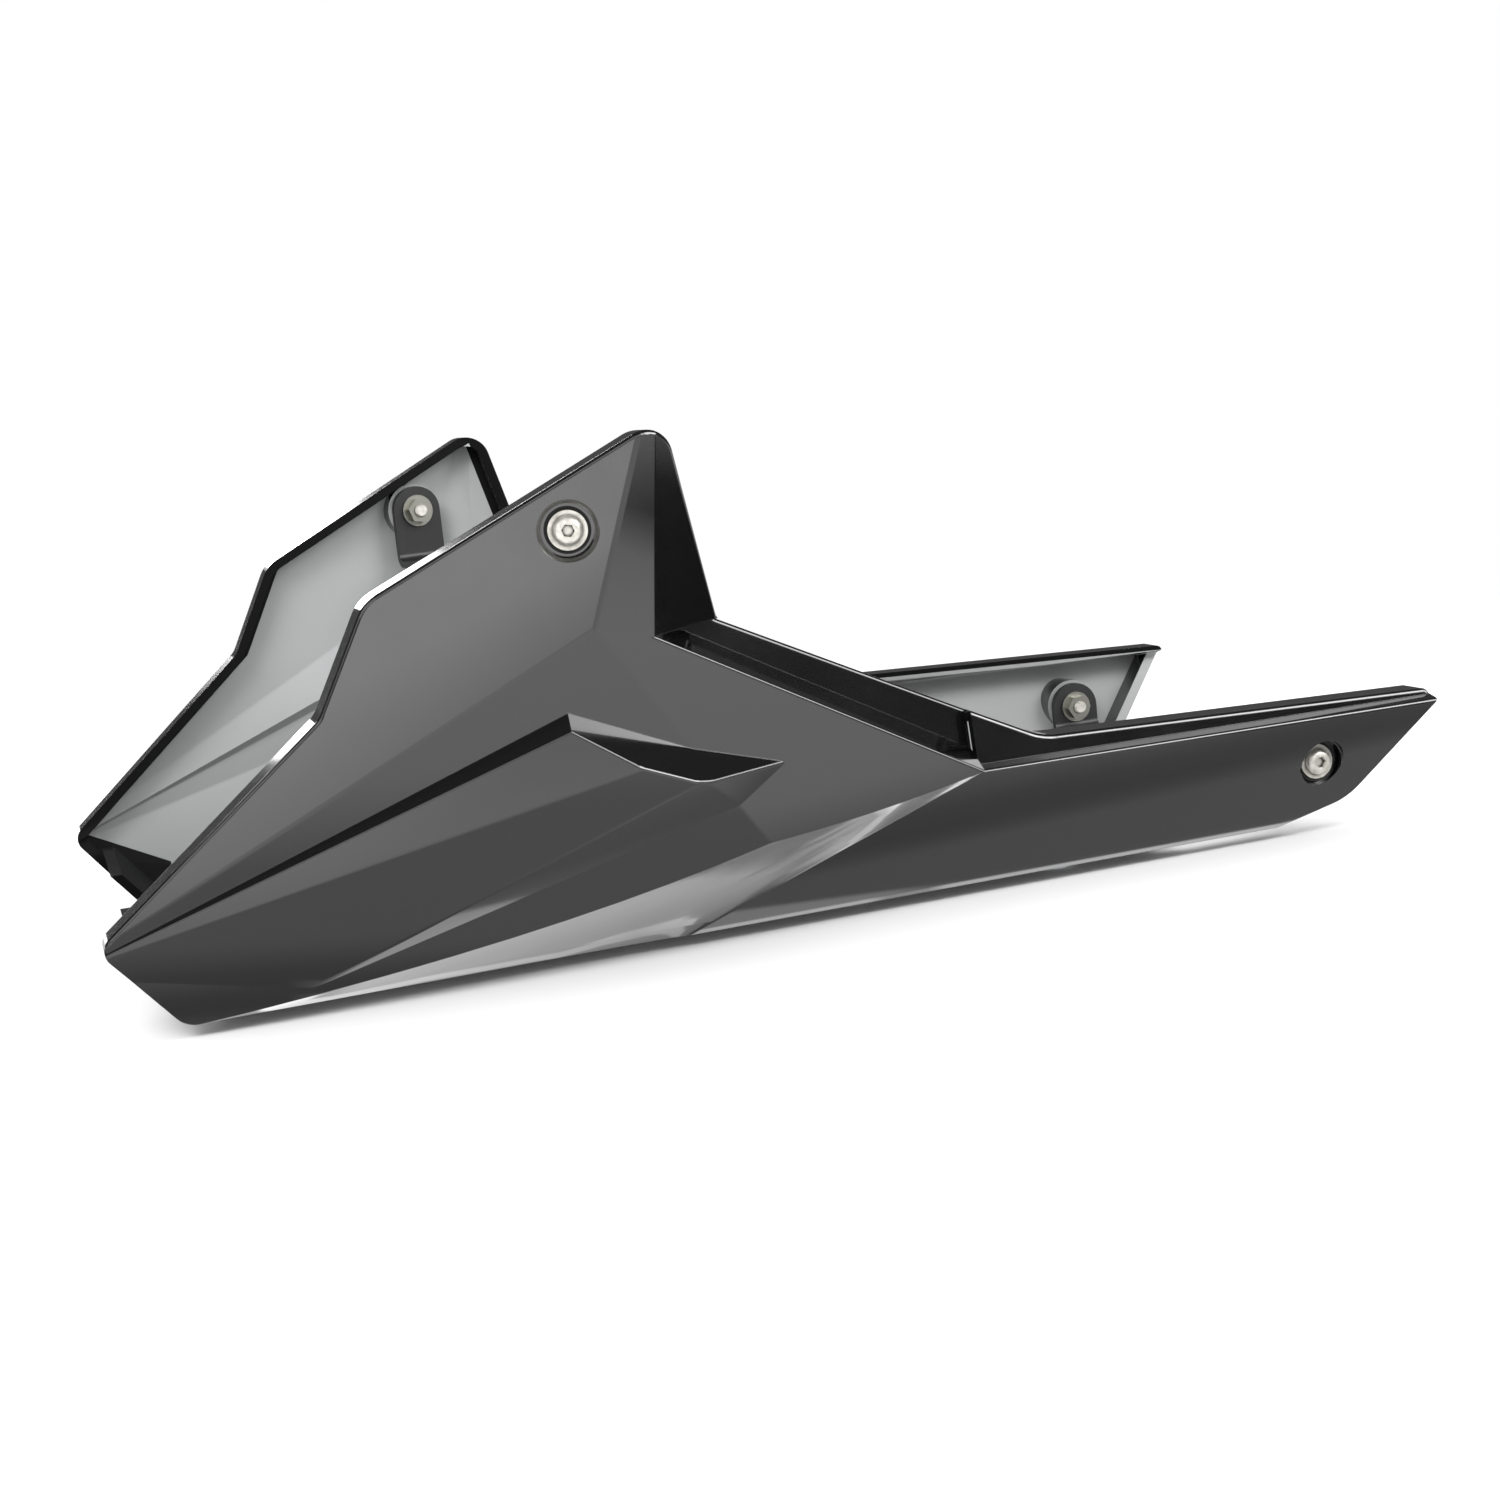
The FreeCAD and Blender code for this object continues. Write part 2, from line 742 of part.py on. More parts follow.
def grommet(tag):
    """Rubber grommet with a flange on each face of the recess floor."""
    sleeve = "({sleeve_bore} / 2 + {sleeve_wall})"
    return turned("Grommet_" + tag, [
        (sleeve, SEAT),
        ("{grommet_flange} / 2", SEAT),
        ("{grommet_flange} / 2", "{recess_depth}"),
        ("{grommet_bore} / 2", "{recess_depth}"),
        ("{grommet_bore} / 2", "{recess_depth} + {recess_floor}"),
        ("{grommet_flange} / 2", "{recess_depth} + {recess_floor}"),
        ("{grommet_flange} / 2", TAB),
        (sleeve, TAB),
    ])


def sleeve(tag):
    """Steel spacer sleeve inside the grommet."""
    return turned("Sleeve_" + tag, [
        ("{sleeve_bore} / 2", SEAT),
        ("{sleeve_bore} / 2 + {sleeve_wall}", SEAT),
        ("{sleeve_bore} / 2 + {sleeve_wall}", TAB),
        ("{sleeve_bore} / 2", TAB),
    ])


def bracket_nut(tag):
    """Flanged weld nut behind the bracket tab."""
    start = TAB + " + {bracket_thick}"
    hexagonal = hexagon("NutHex_" + tag, "{nut_flats}", "{nut_height}", start)
    flange = cylinder("NutFlange_" + tag, "{nut_flange}", "{nut_flange_thick}", ("0", "0", start))
    bore = cylinder("NutBore_" + tag, "{screw_thread} + 2 * {thread_gap}", "{nut_height} + 4",
                    ("0", "0", start + " - 2"))
    return less("Nut_" + tag, joined("NutBlank_" + tag, [hexagonal, flange]), bore)


def strip_body(name, role, points):
    """Bent steel strip: profile padded to its width, with rounded bends and tab ends."""
    body = doc.addObject("PartDesign::Body", name)
    sketch = outline_sketch(body, name + "_profile", role, points)
    pad = body.newObject("PartDesign::Pad", name + "_pad")
    pad.Profile = sketch
    pad.Midplane = True
    pad.setExpression("Length", on_sheet("{bracket_width}"))
    body.Tip = pad
    doc.recompute()
    return body, pad


def rounded(body, pad, name, radius, chosen):
    """Fillet on the chosen edges of a body."""
    fillet = body.newObject("PartDesign::Fillet", name)
    fillet.Base = (pad, chosen)
    fillet.setExpression("Radius", on_sheet(radius))
    body.Tip = fillet
    doc.recompute()
    return fillet


def near_edges(feature, spots):
    """Names of the edges whose middle lies at a spot in the plane of the strip's profile."""
    names = []
    for i, edge in enumerate(feature.Shape.Edges, start=1):
        middle = edge.CenterOfMass
        flat = V(middle.x, 0, middle.z)
        if any((flat - spot).Length < 1e-4 for spot in spots):
            names.append("Edge%d" % i)
    return names


def bracket(side_name, which):
    """L-shaped bracket: a tab on the panel screw and a leg that bolts to the engine."""
    tag = which + "_" + side_name
    near, far = TAB, TAB + " + {bracket_thick}"
    reach = "{%s_bracket_reach}" % which
    drop = "{%s_bracket_drop}" % which
    end = "{bracket_width} / 2"
    points = [
        (near, end),
        (far, end),
        (far, "-" + drop),
        (reach, "-" + drop),
        (reach, "-(" + drop + " + {bracket_thick})"),
        (near, "-(" + drop + " + {bracket_thick})"),
    ]
    body, last = strip_body("Strip_" + tag, "XZ_Plane", points)
    spots = [V(value(a), 0, value(b)) for a, b in points]
    tab_end = (spots[0] + spots[1]) * 0.5
    leg_end = (spots[3] + spots[4]) * 0.5
    last = rounded(body, last, "Ends_" + tag, end + " - 0.2", near_edges(last, [tab_end, leg_end]))
    last = rounded(body, last, "Outside_" + tag, "{bracket_bend} + {bracket_thick} - 0.05",
                   near_edges(last, [spots[5]]))
    rounded(body, last, "Inside_" + tag, "{bracket_bend}", near_edges(last, [spots[2]]))
    drill = cylinder("Drill_" + tag, "{screw_thread} + 2 * {hole_clearance}", "20", ("0", "0", "0"))
    drill.Placement = FreeCAD.Placement(V(0, 0, 0), FreeCAD.Rotation(V(0, 0, 1), V(1, 0, 0)))
    bind(drill, {"Placement.Base.x": TAB + " - 5"})
    bolt_hole = cylinder("Mount_" + tag, "{bracket_hole}", "20",
                         (reach + " - " + end, "0", "-(" + drop + " + 10)"))
    piece = less("Bracket_" + tag, body, joined("Drills_" + tag, [drill, bolt_hole]))
    point, direction = inward_axis(SIDES[side_name], which)
    piece.Placement = FreeCAD.Placement(point, FreeCAD.Rotation(V(1, 0, 0), direction))
    return piece


def seam_set(side_name):
    """Screws, washers and nuts of one seam, as three groups."""
    side = SIDES[side_name]
    sign = "-" if side < 0 else ""
    head = "({underside_height} - {washer_thick})"
    top = "({underside_height} + {wall} + {floor_thick})"
    screws, washers, nuts = [], [], []
    for i in range(SEAMS):
        tag = "%s_%d" % (side_name, i + 1)
        x = "{seam_first_x} + %d * {seam_pitch}" % i
        y = sign + "{seam_half_width}"
        bevel = doc.addObject("Part::Cone", "SeamBevel_" + tag)
        bind(bevel, {"Radius1": "{seam_head} / 2 - {seam_head_chamfer}", "Radius2": "{seam_head} / 2",
                     "Height": "{seam_head_chamfer}", "Placement.Base.x": x, "Placement.Base.y": y})
        crown = cylinder("SeamHead_" + tag, "{seam_head}", head + " - {seam_head_chamfer}",
                         (x, y, "{seam_head_chamfer}"))
        shank = cylinder("SeamShank_" + tag, "{seam_thread}", "{seam_length}", (x, y, head))
        socket = hexagon("SeamSocket_" + tag, "{seam_socket}", "{seam_socket_depth} + 1", "-1")
        bind(socket, {"Placement.Base.x": x, "Placement.Base.y": y})
        screws.append(less("SeamScrew_" + tag, joined("SeamBlank_" + tag, [bevel, crown, shank]), socket))
        disc = cylinder("WasherDisc_" + tag, "{washer_diameter}", "{washer_thick}", (x, y, head))
        bore = cylinder("WasherBore_" + tag, "{seam_thread} + 2 * {hole_clearance}",
                        "{washer_thick} + 4", (x, y, head + " - 2"))
        washers.append(less("Washer_" + tag, disc, bore))
        hexagonal = hexagon("SeamNutHex_" + tag, "{seam_nut_flats}", "{seam_nut_height}", top)
        bind(hexagonal, {"Placement.Base.x": x, "Placement.Base.y": y})
        skirt = cylinder("SeamNutSkirt_" + tag, "{seam_nut_skirt}", "{seam_nut_skirt_thick}",
                         (x, y, top))
        thread = cylinder("SeamNutBore_" + tag, "{seam_thread} + 2 * {thread_gap}",
                          "{seam_nut_height} + 4", (x, y, top + " - 2"))
        nuts.append(less("SeamNut_" + tag, joined("SeamNutBlank_" + tag, [hexagonal, skirt]), thread))
    for label, items in (("seam_screws", screws), ("seam_washers", washers), ("seam_nuts", nuts)):
        group = doc.addObject("Part::Compound", "Group_" + label + "_" + side_name)
        group.Links = items
        node(group, label + "_" + side_name)


def floor_shell():
    """Floor between the side shells: sheet, front lip, ribs, drain opening and seam holes."""
    low = "({underside_height} + {wall})"
    body = doc.addObject("PartDesign::Body", "FloorSheet")
    corner = "{floor_corner}"
    half = "{floor_half_width}"
    wide = "{lip_half_width}"
    sketch = outline_sketch(body, "FloorSheet_outline", "XY_Plane", [
        ("{floor_front_x}", "-" + wide),
        ("{floor_step_x} - " + corner, "-" + wide),
        ("{floor_step_x}", "-" + half),
        ("{floor_rear_x} - " + corner, "-" + half),
        ("{floor_rear_x}", "-(" + half + " - " + corner + ")"),
        ("{floor_rear_x}", half + " - " + corner),
        ("{floor_rear_x} - " + corner, half),
        ("{floor_step_x}", half),
        ("{floor_step_x} - " + corner, wide),
        ("{floor_front_x}", wide),
    ])
    pad = body.newObject("PartDesign::Pad", "FloorSheet_pad")
    pad.Profile = sketch
    pad.setExpression("Length", on_sheet("{floor_thick}"))
    body.Tip = pad
    bind(body, {"Placement.Base.z": low})
    parts = [body]
    lip = doc.addObject("PartDesign::Body", "FloorLip")
    lean = "{floor_front_x} - {lip_slant} * ({lip_top_height} - " + low + ")"
    sketch = outline_sketch(lip, "FloorLip_profile", "XZ_Plane", [
        ("{floor_front_x}", low),
        ("{floor_front_x} + {floor_thick} * 1.3", low),
        (lean + " + {floor_thick} * 1.3", "{lip_top_height}"),
        (lean, "{lip_top_height}"),
    ])
    pad = lip.newObject("PartDesign::Pad", "FloorLip_pad")
    pad.Profile = sketch
    pad.Midplane = True
    pad.setExpression("Length", on_sheet("2 * " + wide))
    lip.Tip = pad
    parts.append(lip)
    for i in (-1, 0, 1):
        parts.append(box("FloorRib_%d" % (i + 2),
                         ("{floor_rear_x} - {floor_front_x} - {floor_rib_end}", "{floor_rib_thick}",
                          "{floor_thick} + {floor_rib_height}"),
                         ("{floor_front_x} + {floor_thick} / 2",
                          "%d * {floor_rib_pitch} - {floor_rib_thick} / 2" % i, low)))
    cuts = [box("LipNotch", ("2 * {lip_top_height}", "2 * {lip_notch_half_width}", "{lip_top_height}"),
                ("{floor_front_x} - 2 * {lip_top_height} + {floor_thick}", "-{lip_notch_half_width}",
                 "{lip_notch_height}"))]
    span = "{drain_length} - {drain_width}"
    cuts.append(box("DrainSlot", (span, "{drain_width}", "40"),
                    ("{drain_x} - (" + span + ") / 2", "-{drain_width} / 2", "0")))
    for i, sign in enumerate("-+"):
        cuts.append(cylinder("DrainEnd_%d" % (i + 1), "{drain_width}", "40",
                             ("{drain_x} " + sign + " (" + span + ") / 2", "0", "0")))
    for side in "-+":
        for i in range(SEAMS):
            name = "FloorHole_%s_%d" % ("left" if side == "-" else "right", i + 1)
            cuts.append(cylinder(name, "{seam_thread} + 2 * {hole_clearance}", "40",
                                 ("{seam_first_x} + %d * {seam_pitch}" % i,
                                  "0 " + side + " {seam_half_width}", "0")))
    return less("FloorShell", joined("FloorBlank", parts), joined("FloorCuts", cuts))


left = side_shell()
solid_node("left_panel", left)
solid_node("right_panel", mirrored(left))
node(floor_shell(), "floor_panel")
for side_name, side in SIDES.items():
    for which in ("front", "rear"):
        tag = which + "_" + side_name
        place = on_axis(side, which)
        for label, thing in (("screw", panel_screw(tag)), ("grommet", grommet(tag)),
                             ("sleeve", sleeve(tag)), ("bracket_nut", bracket_nut(tag))):
            thing.Placement = place
            node(thing, "%s_%s_%s" % (which, label, side_name))
        node(bracket(side_name, which), "%s_bracket_%s" % (which, side_name))
    seam_set(side_name)
doc.recompute()

faults = [thing.Label for thing in doc.Objects if "Invalid" in thing.State or "Error" in thing.State]
for piece in NODES:
    if piece.Shape.isNull() or not piece.Shape.isValid():
        faults.append(piece.Label + " shape")
if faults:
    raise RuntimeError("faulty objects: " + ", ".join(faults))

os.makedirs("parts", exist_ok=True)
for piece in NODES:
    piece.Shape.exportStep("parts/%s.step" % piece.Label)
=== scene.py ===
"""Looks of a motorcycle belly pan: gloss black shells, a moulded floor, steel brackets and fixings."""

import bpy
from mathutils import Matrix, Vector

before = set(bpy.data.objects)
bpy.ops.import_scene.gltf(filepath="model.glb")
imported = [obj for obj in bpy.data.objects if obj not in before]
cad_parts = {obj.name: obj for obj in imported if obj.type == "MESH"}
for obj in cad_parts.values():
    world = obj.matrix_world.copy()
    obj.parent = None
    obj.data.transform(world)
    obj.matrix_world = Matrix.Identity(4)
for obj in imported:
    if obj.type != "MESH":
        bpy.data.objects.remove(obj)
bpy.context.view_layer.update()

MM = 0.001

# brightest field that gloss sees in the studio, in units of white
BRIGHTEST = 8.0

# upper edge of a side shell from nose to tail, as (x, height) in metres
UPPER_EDGE = [(-0.2595, 0.0365), (-0.178, 0.1055), (-0.159, 0.1425), (-0.054, 0.1935), (-0.038, 0.1215),
              (0.088, 0.0595), (0.2605, 0.0535)]
EDGE_TOP = 0.2

# the film inside a shell, whose pale grey is painted reflected light, ends this far beside the upper edge and
# this far below it
FILM_SIDE_GAP = 6 * MM
FILM_LOW_GAP = 2 * MM
# and in front on the line z = -CHIN_SLOPE * x + CHIN_LINE, from the nose back to CHIN_REAR
CHIN_SLOPE = 0.5
CHIN_LINE = -90.5 * MM
CHIN_REAR = -219 * MM

# a face is the inside when its normal points this much towards the pan's middle plane
INWARD = -0.4

# where a shell's bottom edge mirrors the floor, as (x, distance from the middle plane) in metres
FOOT_LINE = [(-0.20, 0.1252), (-0.15, 0.1247), (-0.10, 0.1227), (-0.05, 0.1255), (0.0, 0.1230),
             (0.20, 0.1129)]
FOOT_TOP = 0.2

# brightness of the floor's strip and field for gloss, in units of white, and how far the strip slants
STRIP_LEVEL = 1.0
FIELD_LEVEL = 1.4
STRIP_SLANT = 0.1

# the floor fades to plain white from here to here, and ends at its edge, in metres
FADE_FROM = 0.4
FADE_TO = 0.9
FLOOR_WIDTH = 80


def linear(hex_colour):
    """sRGB hex to linear red, green, blue and alpha."""
    parts = [int(hex_colour[i:i + 2], 16) / 255 for i in (1, 3, 5)]
    return [p / 12.92 if p <= 0.04045 else ((p + 0.055) / 1.055) ** 2.4 for p in parts] + [1.0]


def add(tree, kind, settings=None, links=None):
    """Node of a kind, with settings of its attributes and sockets, and links from nodes or sockets.

    A node that is linked as a whole gives its first output that is in use.
    """
    node = tree.nodes.new(kind)
    for key, setting in (settings or {}).items():
        if isinstance(key, str) and hasattr(node, key):
            setattr(node, key, setting)
        else:
            node.inputs[key].default_value = setting
    for key, source in (links or {}).items():
        if isinstance(source, bpy.types.Node):
            source = next(output for output in source.outputs if output.enabled)
        tree.links.new(source, node.inputs[key])
    return node


def blank(name):
    """Empty node material and its tree."""
    material = bpy.data.materials.new(name)
    material.use_nodes = True
    material.node_tree.nodes.clear()
    return material, material.node_tree


def levels(tree, value, stops, top=BRIGHTEST):
    """A value that changes along a coordinate: (coordinate, level) stops, given out as level / top."""
    low, high = stops[0][0], stops[-1][0]
    along = add(tree, "ShaderNodeMapRange", {"From Min": low, "From Max": high}, {"Value": value})
    ramp = add(tree, "ShaderNodeValToRGB", {}, {"Fac": along})
    colours = ramp.color_ramp
    colours.elements[0].color = [stops[0][1] / top] * 3 + [1]
    colours.elements[1].color = [stops[-1][1] / top] * 3 + [1]
    for position, level in stops[1:-1]:
        colours.elements.new((position - low) / (high - low)).color = [level / top] * 3 + [1]
    return ramp


def painted_film_area(tree, spot, inside):
    """1 where the heat film lies, with its pale grey of painted reflected light: inside a shell, short of its
    upper edge and clear of its chin.
    """
    covered = inside
    for step in (-FILM_SIDE_GAP, FILM_SIDE_GAP):
        beside = add(tree, "ShaderNodeMath", {"operation": "ADD", 1: step}, {0: spot.outputs["X"]})
        share = levels(tree, beside, UPPER_EDGE, EDGE_TOP)
        edge = add(tree, "ShaderNodeMath", {"operation": "MULTIPLY", 1: EDGE_TOP}, {0: share})
        below = add(tree, "ShaderNodeMath", {"operation": "SUBTRACT"}, {0: edge, 1: spot.outputs["Z"]})
        short = add(tree, "ShaderNodeMath", {"operation": "GREATER_THAN", 1: FILM_LOW_GAP}, {0: below})
        covered = add(tree, "ShaderNodeMath", {"operation": "MULTIPLY"}, {0: covered, 1: short})
    rise = add(tree, "ShaderNodeMath", {"operation": "MULTIPLY_ADD", 1: CHIN_SLOPE},
               {0: spot.outputs["X"], 2: spot.outputs["Z"]})
    above = add(tree, "ShaderNodeMath", {"operation": "GREATER_THAN", 1: CHIN_LINE}, {0: rise})
    behind = add(tree, "ShaderNodeMath", {"operation": "GREATER_THAN", 1: CHIN_REAR}, {0: spot.outputs["X"]})
    clear = add(tree, "ShaderNodeMath", {"operation": "MAXIMUM"}, {0: above, 1: behind})
    return add(tree, "ShaderNodeMath", {"operation": "MULTIPLY"}, {0: covered, 1: clear})


def film_painted_reflection(tree, place, spot):
    """Bonded heat film with a matt silver face, lightly creased; its soft pale grey is painted reflected
    light, darker towards the bottom.
    """
    # creases of a film laid by hand over the twisted inside, about 18 mm apart
    fold = add(tree, "ShaderNodeTexNoise", {"Scale": 1 / (18 * MM), "Detail": 3.0}, {"Vector": place})
    crease = add(tree, "ShaderNodeBump", {"Strength": 0.15, "Distance": 0.3 * MM}, {"Height": fold})
    sheen = add(tree, "ShaderNodeMapRange", {"To Min": 0.45, "To Max": 0.6}, {"Value": fold})
    # the film's painted pale grey grows darker towards the bottom
    paler = add(tree, "ShaderNodeMapRange", {"From Min": 15 * MM, "From Max": 100 * MM},
                {"Value": spot.outputs["Z"]})
    grey = add(tree, "ShaderNodeMix", {"data_type": "RGBA", "A": linear("#858686"), "B": linear("#a9abab")},
               {"Factor": paler})
    return add(tree, "ShaderNodeBsdfPrincipled", {"Metallic": 0.1, "Specular IOR Level": 0.3},
               {"Base Color": grey, "Roughness": sheen, "Normal": crease})


def lacquered_abs():
    """Injection-moulded ABS, sprayed black and lacquered outside: black under two sharp gloss layers.

    Inside it stays bare, a dull black that shows at the rim and the chin, and the heat film is bonded
    over the rest; the film's pale grey is painted reflected light.
    """
    material, tree = blank("lacquered_black_abs")
    coordinates = add(tree, "ShaderNodeTexCoord")
    place = coordinates.outputs["Object"]
    spot = add(tree, "ShaderNodeSeparateXYZ", {}, {"Vector": place})
    facing = add(tree, "ShaderNodeSeparateXYZ", {}, {"Vector": coordinates.outputs["Normal"]})
    side = add(tree, "ShaderNodeMath", {"operation": "SIGN"}, {0: spot.outputs["Y"]})
    outward = add(tree, "ShaderNodeMath", {"operation": "MULTIPLY"}, {0: side, 1: facing.outputs["Y"]})
    inside = add(tree, "ShaderNodeMath", {"operation": "LESS_THAN", 1: INWARD}, {0: outward})
    # orange peel of sprayed lacquer, waves about 2.5 mm apart
    peel = add(tree, "ShaderNodeTexNoise", {"Scale": 1 / (2.5 * MM), "Detail": 1.0}, {"Vector": place})
    # paint pulls back from sharp edges and rounds them by about 0.6 mm
    soft = add(tree, "ShaderNodeBevel", {"samples": 4, "Radius": 0.6 * MM})
    bump = add(tree, "ShaderNodeBump", {"Strength": 0.05, "Distance": 0.02 * MM},
               {"Height": peel, "Normal": soft})
    # rub marks and road haze, patches about 30 mm across
    haze = add(tree, "ShaderNodeTexNoise", {"Scale": 1 / (30 * MM), "Detail": 6.0, "Roughness": 0.6},
               {"Vector": place})
    rough = add(tree, "ShaderNodeMapRange",
                {"From Min": 0.3, "From Max": 0.75, "To Min": 0.10, "To Max": 0.17}, {"Value": haze})
    paint = add(tree, "ShaderNodeBsdfPrincipled",
                {"Base Color": linear("#0b0b0c"), "IOR": 1.5, "Coat Weight": 1.0,
                 "Coat Roughness": 0.03, "Coat IOR": 1.5},
                {"Roughness": rough, "Normal": bump})
    bare = add(tree, "ShaderNodeBsdfPrincipled",
               {"Base Color": linear("#0b0b0c"), "IOR": 1.5, "Specular IOR Level": 0.1, "Roughness": 0.6},
               {"Normal": bump})
    skin = add(tree, "ShaderNodeMixShader", {}, {0: inside, 1: paint, 2: bare})
    # the film's pale grey over the inside is painted reflected light
    covered = painted_film_area(tree, spot, inside)
    shader = add(tree, "ShaderNodeMixShader", {}, {0: covered, 1: skin, 2: film_painted_reflection(tree, place, spot)})
    add(tree, "ShaderNodeOutputMaterial", {}, {"Surface": shader})
    return material


def grained_abs():
    """Unpainted ABS with a spark-eroded grain: dull charcoal with a fine pebble."""
    material, tree = blank("grained_black_abs")
    place = add(tree, "ShaderNodeTexCoord").outputs["Object"]
    # grain of the mould, 0.9 mm from pebble to pebble, and dust in patches about 25 mm across
    grain = add(tree, "ShaderNodeTexVoronoi", {"Scale": 1 / (0.9 * MM)}, {"Vector": place})
    dust = add(tree, "ShaderNodeTexNoise", {"Scale": 1 / (25 * MM), "Detail": 5.0}, {"Vector": place})
    tone = add(tree, "ShaderNodeMix", {"data_type": "RGBA", "A": linear("#050505"), "B": linear("#0d0d0e")},
               {"Factor": dust})
    bump = add(tree, "ShaderNodeBump", {"Strength": 0.35, "Distance": 0.12 * MM}, {"Height": grain})
    shader = add(tree, "ShaderNodeBsdfPrincipled",
                 {"Roughness": 0.7, "IOR": 1.5, "Specular IOR Level": 0.08},
                 {"Base Color": tone, "Normal": bump})
    add(tree, "ShaderNodeOutputMaterial", {}, {"Surface": shader})
    return material


def blasted_stainless():
    """Bead-blasted stainless steel: pale warm grey with a soft, even sheen, darker stains in spots and
    painted shade in its hollows.
    """
    material, tree = blank("blasted_stainless")
    place = add(tree, "ShaderNodeTexCoord").outputs["Object"]
    # pits of the blasting, 0.35 mm apart, and stains about 3 mm across
    grit = add(tree, "ShaderNodeTexNoise", {"Scale": 1 / (0.35 * MM), "Detail": 3.0}, {"Vector": place})
    stain = add(tree, "ShaderNodeTexNoise", {"Scale": 1 / (3 * MM), "Detail": 5.0}, {"Vector": place})
    tone = add(tree, "ShaderNodeMapRange", {"From Min": 0.35, "From Max": 0.7}, {"Value": stain})
    steel = add(tree, "ShaderNodeMix", {"data_type": "RGBA", "A": linear("#e6e3dc"), "B": linear("#bdb9b0")},
                {"Factor": tone})
    # painted shade: ambient occlusion darkens the socket and where the head meets its flange
    corner = add(tree, "ShaderNodeAmbientOcclusion", {"samples": 8, "Distance": 1.6 * MM})
    paler = add(tree, "ShaderNodeMapRange", {"From Min": 0.45, "From Max": 0.85},
                {"Value": corner.outputs["AO"]})
    steel_painted_shade = add(tree, "ShaderNodeMix", {"data_type": "RGBA", "A": linear("#35322e")},
                 {"Factor": paler, "B": steel})
    bump = add(tree, "ShaderNodeBump", {"Strength": 0.25, "Distance": 0.03 * MM}, {"Height": grit})
    shader = add(tree, "ShaderNodeBsdfPrincipled", {"Metallic": 0.65, "Roughness": 0.38},
                 {"Base Color": steel_painted_shade, "Normal": bump})
    add(tree, "ShaderNodeOutputMaterial", {}, {"Surface": shader})
    return material


def zinc_plate(name, light, dark):
    """Zinc plating on steel: blue-grey or yellowish metal with faint cloudy passivation."""
    material, tree = blank(name)
    place = add(tree, "ShaderNodeTexCoord").outputs["Object"]
    # clouds about 5 mm across
    cloud = add(tree, "ShaderNodeTexNoise", {"Scale": 1 / (5 * MM), "Detail": 4.0}, {"Vector": place})
    colour = add(tree, "ShaderNodeMix", {"data_type": "RGBA", "A": linear(light), "B": linear(dark)},
                 {"Factor": cloud})
    rough = add(tree, "ShaderNodeMapRange", {"To Min": 0.22, "To Max": 0.42}, {"Value": cloud})
    shader = add(tree, "ShaderNodeBsdfPrincipled", {"Metallic": 1.0},
                 {"Base Color": colour, "Roughness": rough})
    add(tree, "ShaderNodeOutputMaterial", {}, {"Surface": shader})
    return material


def powder_coat():
    """Satin black powder coat on sheet steel: soft gloss over a fine 0.8 mm ripple."""
    material, tree = blank("black_powder_coat")
    place = add(tree, "ShaderNodeTexCoord").outputs["Object"]
    ripple = add(tree, "ShaderNodeTexNoise", {"Scale": 1 / (0.8 * MM), "Detail": 2.0}, {"Vector": place})
    # wear in patches about 12 mm across
    wear = add(tree, "ShaderNodeTexNoise", {"Scale": 1 / (12 * MM), "Detail": 5.0}, {"Vector": place})
    colour = add(tree, "ShaderNodeMix", {"data_type": "RGBA", "A": linear("#161617"), "B": linear("#242425")},
                 {"Factor": wear})
    bump = add(tree, "ShaderNodeBump", {"Strength": 0.3, "Distance": 0.05 * MM}, {"Height": ripple})
    shader = add(tree, "ShaderNodeBsdfPrincipled", {"Roughness": 0.42, "IOR": 1.5},
                 {"Base Color": colour, "Normal": bump})
    add(tree, "ShaderNodeOutputMaterial", {}, {"Surface": shader})
    return material


def moulded_rubber():
    """Moulded EPDM rubber: matt near-black with a faint bloom."""
    material, tree = blank("moulded_rubber")
    place = add(tree, "ShaderNodeTexCoord").outputs["Object"]
    # bloom in spots about 2 mm across
    bloom = add(tree, "ShaderNodeTexNoise", {"Scale": 1 / (2 * MM), "Detail": 5.0}, {"Vector": place})
    colour = add(tree, "ShaderNodeMix", {"data_type": "RGBA", "A": linear("#0f0f0f"), "B": linear("#232322")},
                 {"Factor": bloom})
    bump = add(tree, "ShaderNodeBump", {"Strength": 0.2, "Distance": 0.05 * MM}, {"Height": bloom})
    shader = add(tree, "ShaderNodeBsdfPrincipled", {"Roughness": 0.7, "IOR": 1.5},
                 {"Base Color": colour, "Normal": bump})
    add(tree, "ShaderNodeOutputMaterial", {}, {"Surface": shader})
    return material


bright_zinc = zinc_plate("bright_zinc_plate", "#c9ccd0", "#a9abad")
dull_zinc = zinc_plate("dull_zinc_plate", "#b4b3aa", "#8f8f88")
stainless = blasted_stainless()

# the first key that a node's name holds gives its finish
FINISHES = {
    "floor_panel": grained_abs(),
    "panel": lacquered_abs(),
    "bracket_nut": dull_zinc,
    "bracket": powder_coat(),
    "seam_nuts": dull_zinc,
    "seam_screws": bright_zinc,
    "seam_washers": bright_zinc,
    "screw": stainless,
    "sleeve": dull_zinc,
    "grommet": moulded_rubber(),
}

for name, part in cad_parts.items():
    part.data.materials.clear()
    part.data.materials.append(next(finish for key, finish in FINISHES.items() if key in name))


